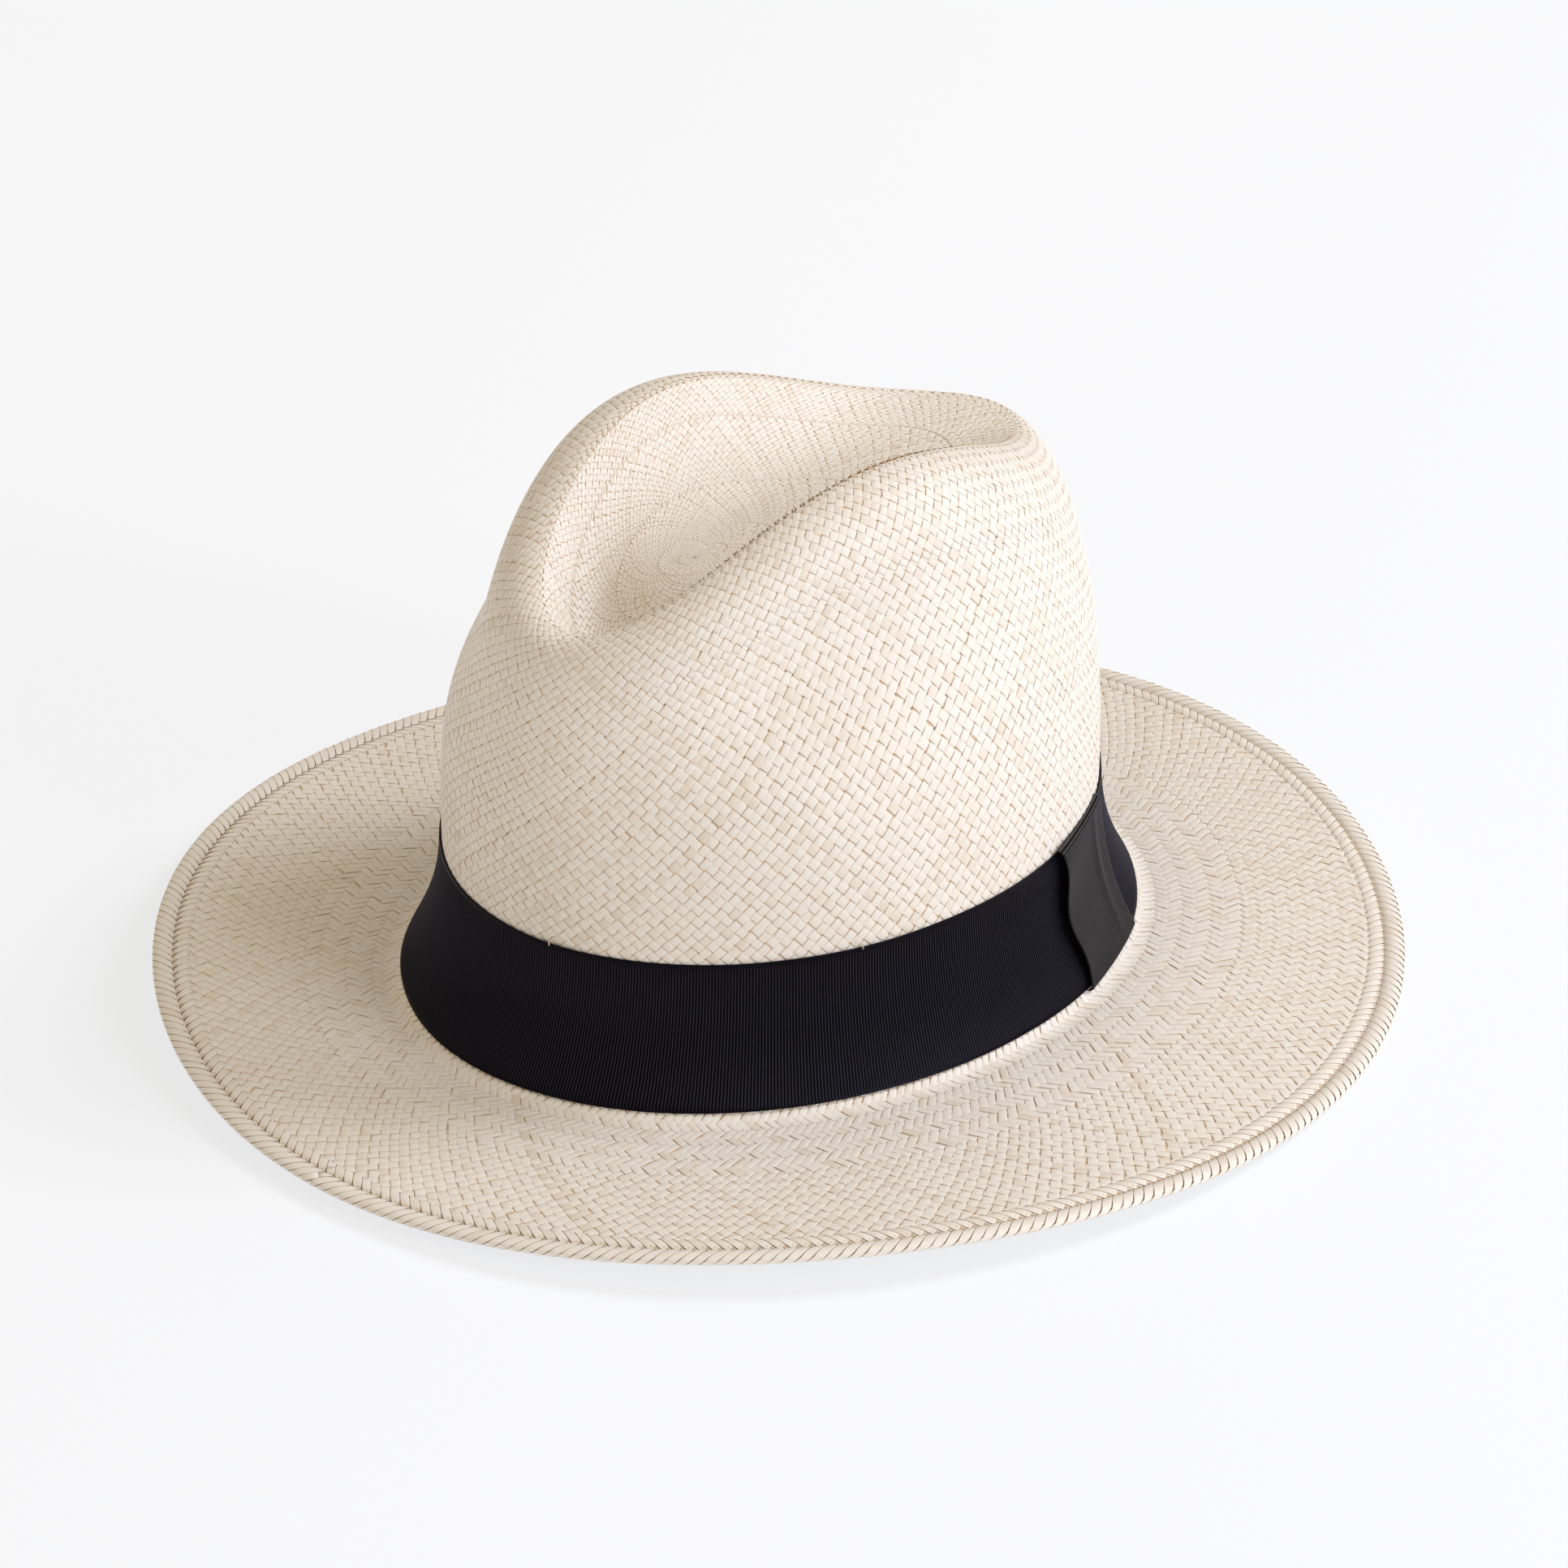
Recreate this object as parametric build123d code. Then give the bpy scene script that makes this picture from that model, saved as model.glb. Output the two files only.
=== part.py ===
"""Panama hat: one woven straw body with a ribbon outside and a sweatband inside.

Millimetres, +Z up.  The origin is the middle of the head opening, level with the
line where the crown turns into the brim.  The front of the hat faces -Y and the
ribbon's seam tab is on the +X side, the wearer's left.

Every ring of the hat is written with one angle, in degrees: 0 is the front, 90 the
wearer's left, 180 the back.
"""
from build123d import *
import os
from math import atan2, cos, degrees, exp, hypot, pi, radians, sin, sqrt

# Straw body
STRAW_THICKNESS = 1.2
RIM_LENGTH = 160.0            # the crest loop round the dent, seen from above
RIM_WIDTH = 74.0
RIM_SHIFT = 4.0               # the loop's middle, behind the origin
RIM_HEIGHT = 129.0            # the crest's mean height, before its rise and fall
RIM_SIDE_RISE = 12.7          # the crest is highest at the sides
RIM_BACK_RISE = 3.25
RIM_FRONT_DROP = 3.1
RIM_CORNER_DROP = 1.5
DENT_START = (-30.0, 116.5)   # y and z of the point where the weave starts
DENT_HOLLOW = 11.0            # how far the dent sinks behind its front lip
DENT_STEEPNESS = 1.5          # above 1, the dent has a flatter floor and steeper sides
DENT_CREST = 0.86             # 1 gives a soft crest, less gives a sharper one
DENT_LEAN = 1.8               # above 1, the hollow lies nearer the front lip
WEAVE_START = 0.02            # the flat disc at the start, as a share of the dent
SHOULDER_POWER = 2.25         # 2 is an ellipse, more is squarer
PINCH_DEPTH = (13.0, 7.6)     # on the wearer's left and right
PINCH_ANGLE = 62.0
PINCH_SPREAD = 34.0
PINCH_LEVEL = 0.72            # as a share of the crown's height above the ribbon
PINCH_REACH = 0.22

# Brim
BRIM_LENGTH = 341.0
BRIM_WIDTH = 326.0
BRIM_SHIFT = 3.6
BRIM_RAISE = 1.9
BRIM_SIDE_ROLL = 1.2
BRIM_QUARTER_ROLL = 3.6
BRIM_FINE_ROLL = 0.6
BRIM_CURVE = 1.5              # above 1, the brim turns up or down mostly near its edge
BREAK_RADIUS = 5.0            # the turn from the crown's wall into the brim
BORDER_WIDTH = 11.0
BORDER_THICKNESS = 2.4

# Ribbon round the crown
RIBBON_WIDTH = 38.5
RIBBON_THICKNESS = 0.8
RIBBON_TOP = (192.0, 157.5)   # length and width over the ribbon's top edge
RIBBON_LOW = (218.0, 178.6)   # length and width over its bottom edge
RIBBON_TOP_HEIGHT = 40.2
RIBBON_TOP_TILT = (1.2, 2.0)  # how far the top edge dips on the wearer's left and at the front
RIBBON_LOW_HEIGHT = 2.2
RIBBON_GAP = 0.1

# Seam tab over the ribbon's joint
TAB_ANGLE = 113.0
TAB_WIDTH = 35.0
TAB_THICKNESS = 1.0
TAB_LIFT = 0.4                # its clearance over the ribbon
TAB_OVERHANG = 1.2            # past the ribbon's edges, above and below

# Inside the crown
SWEATBAND_WIDTH = 33.0
SWEATBAND_THICKNESS = 1.0
SWEATBAND_GAP = 0.3
SWEATBAND_RAISE = 3.2         # its foot above the brim's break
CLEARANCE = 0.2               # between a small piece and what it lies on
REED_DIAMETER = 2.0
STITCH_COUNT = 84
STITCH_LENGTH = 3.4
STITCH_RAISE = 2.0            # above the sweatband's foot
THREAD_DIAMETER = 0.6
TACK_ANGLES = (8.0, 62.0, 150.0, 208.0, 258.0, 312.0)
TACK_LENGTH = 2.1
TACK_START = 0.04             # the tack's lower end, as a share of the ribbon's width
BOW_WIDTH = 26.0
BOW_HEIGHT = 9.0
BOW_THICKNESS = 1.6
BOW_RAISE = 8.0               # above the sweatband's foot

RING_POINTS = 72
STRIP_POINTS = 9
REED_SIDES = 12
RIBBON_SHARES = (0.0, 0.25, 0.5, 0.75, 1.0)
CROWN_TOP, CROWN_SIDE, RIBBON_ZONE, BRIM_ZONE = 0, 1, 2, 3


def rim(angle):
    """The crest loop round the dent."""
    a = radians(angle)
    height = RIM_HEIGHT - RIM_SIDE_RISE * cos(2 * a) - RIM_BACK_RISE * cos(a)
    height += -RIM_FRONT_DROP * cos(3 * a) + RIM_CORNER_DROP * cos(4 * a)
    return (RIM_WIDTH / 2 * sin(a), RIM_SHIFT - RIM_LENGTH / 2 * cos(a), height)


def ribbon_top(a):
    """The height of the ribbon's top edge at an angle in radians."""
    return RIBBON_TOP_HEIGHT - RIBBON_TOP_TILT[0] * sin(a) - RIBBON_TOP_TILT[1] * cos(a)


def ribbon_ring(share, angle, outward=0.0):
    """A ring of the ribbon's outer face: share 0 is its top edge and 1 its bottom edge."""
    a = radians(angle)
    flare = share ** 2
    length = RIBBON_TOP[0] + (RIBBON_LOW[0] - RIBBON_TOP[0]) * flare
    width = RIBBON_TOP[1] + (RIBBON_LOW[1] - RIBBON_TOP[1]) * flare
    top = ribbon_top(a)
    height = top + (RIBBON_LOW_HEIGHT - top) * share
    return ((width / 2 + outward) * sin(a), -(length / 2 + outward) * cos(a), height)


def brim_edge(angle):
    """The brim's outer edge, with its gentle roll."""
    a = radians(angle)
    height = BRIM_RAISE + BRIM_SIDE_ROLL * cos(2 * a)
    height += -BRIM_QUARTER_ROLL * cos(3 * a) - BRIM_FINE_ROLL * cos(4 * a)
    return (BRIM_WIDTH / 2 * sin(a), BRIM_SHIFT - BRIM_LENGTH / 2 * cos(a), height)


def between(a, b, share):
    return tuple(p + (q - p) * share for p, q in zip(a, b))


def straw_wall(share, angle):
    """The straw just under the ribbon."""
    return ribbon_ring(share, angle, -RIBBON_THICKNESS - RIBBON_GAP)


def crown_top(share, angle):
    """The dent, from the weave's start (0) out to the crest (1)."""
    a = radians(angle)
    crest = rim(angle)
    start = (0.0, DENT_START[0], DENT_START[1])
    x, y, _ = between(start, crest, share)
    rise = ((1 - cos(pi * DENT_CREST * share)) / (1 - cos(pi * DENT_CREST))) ** DENT_STEEPNESS
    hollow = DENT_HOLLOW * max(0.0, cos(a)) ** 2 * sin(pi * share ** DENT_LEAN) ** 2
    return (x, y, start[2] + (crest[2] - start[2]) * rise - hollow)


def crown_side(share, angle):
    """The shoulder, from the crest (0) down to the ribbon's top edge (1)."""
    a = radians(angle)
    crest = rim(angle)
    foot = straw_wall(0, angle)
    power = 2 / SHOULDER_POWER
    outward = sin(share * pi / 2) ** power
    height = max(0.0, cos(share * pi / 2)) ** power
    x = crest[0] + (foot[0] - crest[0]) * outward
    y = crest[1] + (foot[1] - crest[1]) * outward
    from_front = abs(atan2(sin(a), cos(a)))
    pinch = PINCH_DEPTH[x < 0] * exp(-(((from_front - radians(PINCH_ANGLE)) / radians(PINCH_SPREAD)) ** 2))
    pinch *= exp(-(((height - PINCH_LEVEL) / PINCH_REACH) ** 2))
    nx = sin(a) / RIBBON_TOP[1]
    ny = -cos(a) / RIBBON_TOP[0]
    size = hypot(nx, ny)
    return (x - pinch * nx / size, y - pinch * ny / size, foot[2] + (crest[2] - foot[2]) * height)


def brim(share, angle):
    """The brim's upper face, from the ribbon's bottom edge (0) to the outer edge (1)."""
    inner = straw_wall(1, angle)
    outer = brim_edge(angle)
    x, y, _ = between(inner, outer, share)
    turned = hypot(outer[0] - inner[0], outer[1] - inner[1]) * share / BREAK_RADIUS
    fillet = inner[2] * max(0.0, 1 - turned) ** 2
    return (x, y, fillet + outer[2] * share ** BRIM_CURVE)


SURFACES = (crown_top, crown_side, straw_wall, brim)


def straw(zone, share, angle, depth=0.0):
    """A point of the straw body, this deep under its outer face."""
    surface = SURFACES[zone]
    point = surface(share, angle)
    if depth == 0:
        return point
    step = 0.004
    low, high = max(0.0, share - step), min(1.0, share + step)
    along = Vector(*surface(high, angle)) - Vector(*surface(low, angle))
    around = Vector(*surface(share, angle + 0.5)) - Vector(*surface(share, angle - 0.5))
    return tuple(Vector(*point) - along.cross(around).normalized() * depth)


def ring(surface):
    """A closed smooth curve through surface(angle)."""
    points = [Vector(*surface(360 * i / RING_POINTS)) for i in range(RING_POINTS)]
    return Edge.make_spline(points, periodic=True)


def solid_of_rings(rings, closed=False):
    """A solid skinned over rings: a tube when closed, otherwise with a disc on each end."""
    pairs = list(zip(rings, rings[1:]))
    if closed:
        pairs.append((rings[-1], rings[0]))
    faces = [Face.make_surface_from_curves(a, b) for a, b in pairs]
    if not closed:
        faces.append(Face(Wire([rings[0]])))
        faces.append(Face(Wire([rings[-1]])))
    solid = Solid(Shell(faces))
    return solid if solid.volume > 0 else -solid


def straw_body():
    stations = [(CROWN_TOP, share) for share in (0.1, 0.2, 0.3, 0.4, 0.5, 0.6, 0.7, 0.8, 0.9)]
    stations += [(CROWN_SIDE, share / 14) for share in range(14)]
    stations += [(RIBBON_ZONE, share) for share in (0.0, 0.25, 0.5, 0.75)]
    stations += [(BRIM_ZONE, share) for share in (0.0, 0.02, 0.045, 0.08, 0.2, 0.4, 0.6, 0.8)]
    border = 1 - BORDER_WIDTH / ((BRIM_LENGTH - RIBBON_LOW[0]) / 2)
    stations += [(BRIM_ZONE, border), (BRIM_ZONE, 1.0)]

    def depth(share, zone):
        thick = zone == BRIM_ZONE and share > border
        return BORDER_THICKNESS if thick else STRAW_THICKNESS

    def weave_start(depth):
        return ring(lambda t: crown_top(WEAVE_START, t)[:2] + (DENT_START[1] - depth,))

    outer = [ring(lambda t, z=zone, s=share: straw(z, s, t)) for zone, share in stations]
    inner = [
        ring(lambda t, z=zone, s=share: straw(z, s, t, depth(s, z))) for zone, share in stations
    ]
    top = [weave_start(0.0)]
    under = [weave_start(STRAW_THICKNESS)]
    return solid_of_rings(top + outer + inner[::-1] + under)


def ribbon():
    """The grosgrain ribbon, joined into a ring under the seam tab."""
    outer = [(share, 0.0) for share in RIBBON_SHARES]
    inner = [(share, -RIBBON_THICKNESS) for share in RIBBON_SHARES[::-1]]
    rings = [ring(lambda t, s=share, o=out: ribbon_ring(s, t, o)) for share, out in outer + inner]
    return solid_of_rings(rings, closed=True)


def inside_wall(level, angle, depth):
    """A point this high inside the crown, this deep under the straw's outer face."""
    a = radians(angle)
    top = ribbon_top(a)
    share = (top - level) / (top - RIBBON_LOW_HEIGHT)
    outer = straw_wall(share, angle)
    return (outer[0] - depth * sin(a), outer[1] + depth * cos(a), level)


STEEPEST = (RIBBON_LOW[0] - RIBBON_TOP[0]) / (RIBBON_TOP_HEIGHT - RIBBON_LOW_HEIGHT)
BAND_FACE = STRAW_THICKNESS * sqrt(1 + STEEPEST ** 2) + SWEATBAND_GAP


def sweatband():
    """The leather band inside the head opening."""
    levels = [SWEATBAND_RAISE + SWEATBAND_WIDTH * share for share in RIBBON_SHARES]
    outer = [(level, BAND_FACE) for level in levels]
    inner = [(level, BAND_FACE + SWEATBAND_THICKNESS) for level in levels[::-1]]
    rings = [ring(lambda t, z=level, d=deep: inside_wall(z, t, d)) for level, deep in outer + inner]
    return solid_of_rings(rings, closed=True)


def sweatband_reed():
    """The round reed along the sweatband's foot."""
    radius = REED_DIAMETER / 2
    middle = SWEATBAND_RAISE - radius - CLEARANCE

    def side(turn, angle):
        x, y, _ = inside_wall(SWEATBAND_RAISE, angle, BAND_FACE + radius + radius * cos(turn))
        return (x, y, middle + radius * sin(turn))

    rings = [ring(lambda t, k=k: side(2 * pi * k / REED_SIDES, t)) for k in range(REED_SIDES)]
    return solid_of_rings(rings, closed=True)


def thread(start, end):
    """A straight stitch of thread between two points."""
    path = Vector(*end) - Vector(*start)
    plane = Plane(origin=start, z_dir=path)
    return Solid.make_cylinder(THREAD_DIAMETER / 2, path.length, plane)


def sweatband_stitches():
    """The row of stitches that holds the sweatband's foot to the straw."""
    deep = BAND_FACE + SWEATBAND_THICKNESS + THREAD_DIAMETER / 2 + CLEARANCE
    level = SWEATBAND_RAISE + STITCH_RAISE
    pitch = 360 / STITCH_COUNT
    half = STITCH_LENGTH / 2 * 360 / (pi * (RIBBON_LOW[0] + RIBBON_LOW[1]) / 2)
    stitches = []
    for number in range(STITCH_COUNT):
        middle = pitch * (number + 0.5)
        ends = [inside_wall(level, angle, deep) for angle in (middle - half, middle + half)]
        stitches.append(thread(*ends))
    return Compound(stitches)


def ribbon_tacks():
    """Small stitches over the ribbon's top edge, into the straw."""
    stitches = []
    for angle in TACK_ANGLES:
        x, y, z = ribbon_ring(TACK_START, angle, THREAD_DIAMETER / 2 + CLEARANCE)
        stitches.append(thread((x, y, z), (x, y, z + TACK_LENGTH)))
    return Compound(stitches)


def strip(outer, inner, first, last):
    """A curved strip between two angles.  outer and inner are matching lists of surfaces(angle)."""

    def curve(surface):
        step = (last - first) / (STRIP_POINTS - 1)
        return Edge.make_spline([Vector(*surface(first + step * i)) for i in range(STRIP_POINTS)])

    faces = []
    sides = ([curve(surface) for surface in outer], [curve(surface) for surface in inner])
    for side in sides:
        faces += [Face.make_surface_from_curves(a, b) for a, b in zip(side, side[1:])]
    for end in (0, -1):
        faces.append(Face.make_surface_from_curves(sides[0][end], sides[1][end]))
    for end in (0, 1):
        for i in range(len(outer) - 1):
            lines = [Edge.make_line(side[i] @ end, side[i + 1] @ end) for side in sides]
            faces.append(Face.make_surface_from_curves(*lines))
    solid = Solid(Shell(faces))
    return solid if solid.volume > 0 else -solid


def seam_tab():
    """The short upright piece of ribbon over the ribbon's joint."""
    over = TAB_OVERHANG / RIBBON_WIDTH
    shares = (-over,) + RIBBON_SHARES
    reach = TAB_WIDTH / 2 * 360 / (pi * (RIBBON_TOP[0] + RIBBON_LOW[0]) / 2)
    inner = [lambda t, s=share: ribbon_ring(s, t, TAB_LIFT) for share in shares]
    outer = [lambda t, s=share: ribbon_ring(s, t, TAB_LIFT + TAB_THICKNESS) for share in shares]
    return strip(outer, inner, TAB_ANGLE - reach, TAB_ANGLE + reach)


def sweatband_bow():
    """The small flat bow that covers the sweatband's joint at the back."""
    near = BAND_FACE + SWEATBAND_THICKNESS + CLEARANCE
    low = SWEATBAND_RAISE + BOW_RAISE
    levels = (low + BOW_HEIGHT, low + BOW_HEIGHT / 2, low)
    reach = degrees(BOW_WIDTH / RIBBON_LOW[1])
    outer = [lambda t, z=level: inside_wall(z, t, near) for level in levels]
    inner = [lambda t, z=level: inside_wall(z, t, near + BOW_THICKNESS) for level in levels]
    return strip(outer, inner, 180 - reach, 180 + reach)


PIECES = (
    straw_body,
    ribbon,
    seam_tab,
    ribbon_tacks,
    sweatband,
    sweatband_reed,
    sweatband_stitches,
    sweatband_bow,
)


def main():
    os.makedirs("parts", exist_ok=True)
    for piece in PIECES:
        export_step(piece(), f"parts/{piece.__name__}.step")


if __name__ == "__main__":
    main()
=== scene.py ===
"""The looks of the panama hat: plaited straw, grosgrain ribbon, seam tab and sweatband.

Metres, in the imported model's frame: +Z up, the front of the hat faces -Y, the seam tab is
on +X.  Rings of the hat are written with an angle that is 0 at the front and grows towards
+X.  The straw is real strands: two families that spiral opposite ways round the hat.
"""
import bpy
import math
import numpy as np
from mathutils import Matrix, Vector


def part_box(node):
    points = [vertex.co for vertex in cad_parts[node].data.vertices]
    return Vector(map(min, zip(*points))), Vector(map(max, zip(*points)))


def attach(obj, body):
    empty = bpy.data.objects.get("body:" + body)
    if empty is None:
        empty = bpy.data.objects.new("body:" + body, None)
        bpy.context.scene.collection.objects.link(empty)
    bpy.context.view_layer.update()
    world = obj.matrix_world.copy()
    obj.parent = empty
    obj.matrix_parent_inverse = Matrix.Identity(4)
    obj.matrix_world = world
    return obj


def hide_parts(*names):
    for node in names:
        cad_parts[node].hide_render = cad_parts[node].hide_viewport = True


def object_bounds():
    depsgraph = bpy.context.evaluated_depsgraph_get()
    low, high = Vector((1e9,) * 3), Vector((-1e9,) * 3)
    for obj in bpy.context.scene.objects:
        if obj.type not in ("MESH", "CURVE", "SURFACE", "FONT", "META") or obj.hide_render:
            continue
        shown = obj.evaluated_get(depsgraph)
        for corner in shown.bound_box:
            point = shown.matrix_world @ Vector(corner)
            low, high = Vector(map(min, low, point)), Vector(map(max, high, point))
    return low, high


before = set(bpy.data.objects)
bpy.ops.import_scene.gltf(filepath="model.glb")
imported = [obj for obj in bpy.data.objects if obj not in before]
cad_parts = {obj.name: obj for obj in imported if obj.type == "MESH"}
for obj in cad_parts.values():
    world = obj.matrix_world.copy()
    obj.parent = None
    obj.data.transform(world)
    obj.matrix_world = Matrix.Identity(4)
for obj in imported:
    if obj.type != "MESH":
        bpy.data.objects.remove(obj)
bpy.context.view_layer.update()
MM = 0.001

# ---------------------------------------------------------------- sizes, from the frame

straw_low, straw_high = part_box("straw_body")
ribbon_low, ribbon_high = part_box("ribbon")
band_low, band_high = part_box("sweatband")
bow_low, bow_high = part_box("sweatband_bow")
BRIM_HALF_WIDTH = (straw_high.x - straw_low.x) / 2
BRIM_HALF_LENGTH = (straw_high.y - straw_low.y) / 2
BRIM_SHIFT = (straw_high.y + straw_low.y) / 2
RIBBON_LOW_HALF = (ribbon_high.x, ribbon_high.y)
RIBBON_TOP_HALF = (78.75 * MM, 96 * MM)
RIBBON_LOW_HEIGHT = ribbon_low.z
RIBBON_TOP_TILT = (1.2 * MM, 2 * MM)
RIBBON_TOP_HEIGHT = ribbon_high.z - math.hypot(*RIBBON_TOP_TILT)
RIBBON_THICKNESS = 0.5 * MM
WALL_INSET = 0.9 * MM

# The crest loop round the dent, and how it rises and falls.
RIM_HALF = (37 * MM, 80 * MM)
RIM_SHIFT = 4 * MM
RIM_HEIGHT = 129 * MM
RIM_SIDE_RISE = 12.7 * MM
RIM_BACK_RISE = 3.25 * MM
RIM_FRONT_DROP = 3.1 * MM
RIM_CORNER_DROP = 1.5 * MM

# The dent and the two pinches, on the wearer's left and right.
DENT_START = (-30 * MM, 116.5 * MM)
DENT_HOLLOW = 11 * MM
DENT_STEEPNESS = 1.5
DENT_CREST = 0.86
DENT_LEAN = 1.8
SHOULDER_POWER = 2.25
PINCH_DEPTH = (13 * MM, 7.6 * MM)
PINCH_ANGLE = math.radians(62)
PINCH_SPREAD = math.radians(34)
PINCH_LEVEL = 0.72
PINCH_REACH = 0.22

# The brim's roll.  It leans down on the wearer's left, which the CAD leaves out.
BREAK_RADIUS = 5 * MM
BRIM_CURVE = 1.5
BRIM_RAISE = 1.9 * MM
BRIM_SIDE_ROLL = 1.2 * MM
BRIM_QUARTER_ROLL = 3.6 * MM
BRIM_FINE_ROLL = 0.6 * MM
BRIM_LEAN = 1.6 * MM

SWEATBAND_DEPTH = 1.75 * MM
SWEATBAND_THICKNESS = 0.8 * MM


# ---------------------------------------------------------------- the hat's surface


def rim(a):
    """The crest loop round the dent, in x, y and z."""
    z = RIM_HEIGHT - RIM_SIDE_RISE * np.cos(2 * a) - RIM_BACK_RISE * np.cos(a)
    z = z - RIM_FRONT_DROP * np.cos(3 * a) + RIM_CORNER_DROP * np.cos(4 * a)
    return RIM_HALF[0] * np.sin(a), RIM_SHIFT - RIM_HALF[1] * np.cos(a), z


def ribbon_top(a):
    """The height of the ribbon's top edge."""
    return RIBBON_TOP_HEIGHT - RIBBON_TOP_TILT[0] * np.sin(a) - RIBBON_TOP_TILT[1] * np.cos(a)


def ribbon_ring(share, a, outward=0.0):
    """The ribbon's outer face: share 0 is its top edge and 1 its bottom edge."""
    flare = share ** 2
    half_x = RIBBON_TOP_HALF[0] + (RIBBON_LOW_HALF[0] - RIBBON_TOP_HALF[0]) * flare + outward
    half_y = RIBBON_TOP_HALF[1] + (RIBBON_LOW_HALF[1] - RIBBON_TOP_HALF[1]) * flare + outward
    top = ribbon_top(a)
    return half_x * np.sin(a), -half_y * np.cos(a), top + (RIBBON_LOW_HEIGHT - top) * share


def brim_edge(a):
    """The brim's outer edge."""
    z = BRIM_RAISE - BRIM_LEAN * np.sin(a) + BRIM_SIDE_ROLL * np.cos(2 * a)
    z = z - BRIM_QUARTER_ROLL * np.cos(3 * a) - BRIM_FINE_ROLL * np.cos(4 * a)
    return BRIM_HALF_WIDTH * np.sin(a), BRIM_SHIFT - BRIM_HALF_LENGTH * np.cos(a), z


def dent(share, a):
    """From the weave's start (0) out to the crest (1)."""
    x, y, z = rim(a)
    climb = (1 - np.cos(np.pi * DENT_CREST * share)) / (1 - math.cos(math.pi * DENT_CREST))
    rise = climb ** DENT_STEEPNESS
    hollow = DENT_HOLLOW * np.clip(np.cos(a), 0, 1) ** 2 * np.sin(np.pi * share ** DENT_LEAN) ** 2
    return (
        x * share,
        DENT_START[0] + (y - DENT_START[0]) * share,
        DENT_START[1] + (z - DENT_START[1]) * rise - hollow,
    )


def shoulder(share, a):
    """From the crest (0) down to the ribbon's top edge (1)."""
    rx, ry, rz = rim(a)
    fx, fy, fz = ribbon_ring(0, a, -WALL_INSET)
    power = 2 / SHOULDER_POWER
    outward = np.sin(share * np.pi / 2) ** power
    height = np.clip(np.cos(share * np.pi / 2), 0, 1) ** power
    from_front = np.abs(np.arctan2(np.sin(a), np.cos(a)))
    depth = np.where(np.sin(a) < 0, PINCH_DEPTH[1], PINCH_DEPTH[0])
    pinch = depth * np.exp(-(((from_front - PINCH_ANGLE) / PINCH_SPREAD) ** 2))
    pinch = pinch * np.exp(-(((height - PINCH_LEVEL) / PINCH_REACH) ** 2))
    nx = np.sin(a) / RIBBON_TOP_HALF[0]
    ny = -np.cos(a) / RIBBON_TOP_HALF[1]
    size = np.hypot(nx, ny)
    return (
        rx + (fx - rx) * outward - pinch * nx / size,
        ry + (fy - ry) * outward - pinch * ny / size,
        fz + (rz - fz) * height,
    )


def brim(share, a):
    """From the ribbon's bottom edge (0) out to the brim's edge (1)."""
    ix, iy, iz = ribbon_ring(1, a, -WALL_INSET)
    ox, oy, oz = brim_edge(a)
    turned = np.hypot(ox - ix, oy - iy) * share / BREAK_RADIUS
    fillet = iz * np.clip(1 - turned, 0, 1) ** 2
    return ix + (ox - ix) * share, iy + (oy - iy) * share, fillet + oz * share ** BRIM_CURVE


def wall(share, a):
    """The straw under the ribbon, from its top edge (0) to its bottom edge (1)."""
    return ribbon_ring(share, a, -WALL_INSET)


def hat(v, a):
    """The straw's outer face: v 0-1 dent, 1-2 shoulder, 2-3 under the ribbon, 3-4 brim."""
    v, a = np.broadcast_arrays(v, a)
    point = np.zeros(v.shape + (3,))
    for number, zone in enumerate((dent, shoulder, wall, brim)):
        here = (v >= number) & (v <= number + 1)
        x, y, z = zone(v[here] - number, a[here])
        point[here] = np.stack([x, y, z + 0 * x], -1)
    return point


def ribbon_face(v, a):
    """The ribbon's outer face as an array of points."""
    v, a = np.broadcast_arrays(v, a)
    return np.stack(ribbon_ring(v, a), -1)


def unit(vectors):
    return vectors / np.linalg.norm(vectors, axis=-1, keepdims=True)


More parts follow.
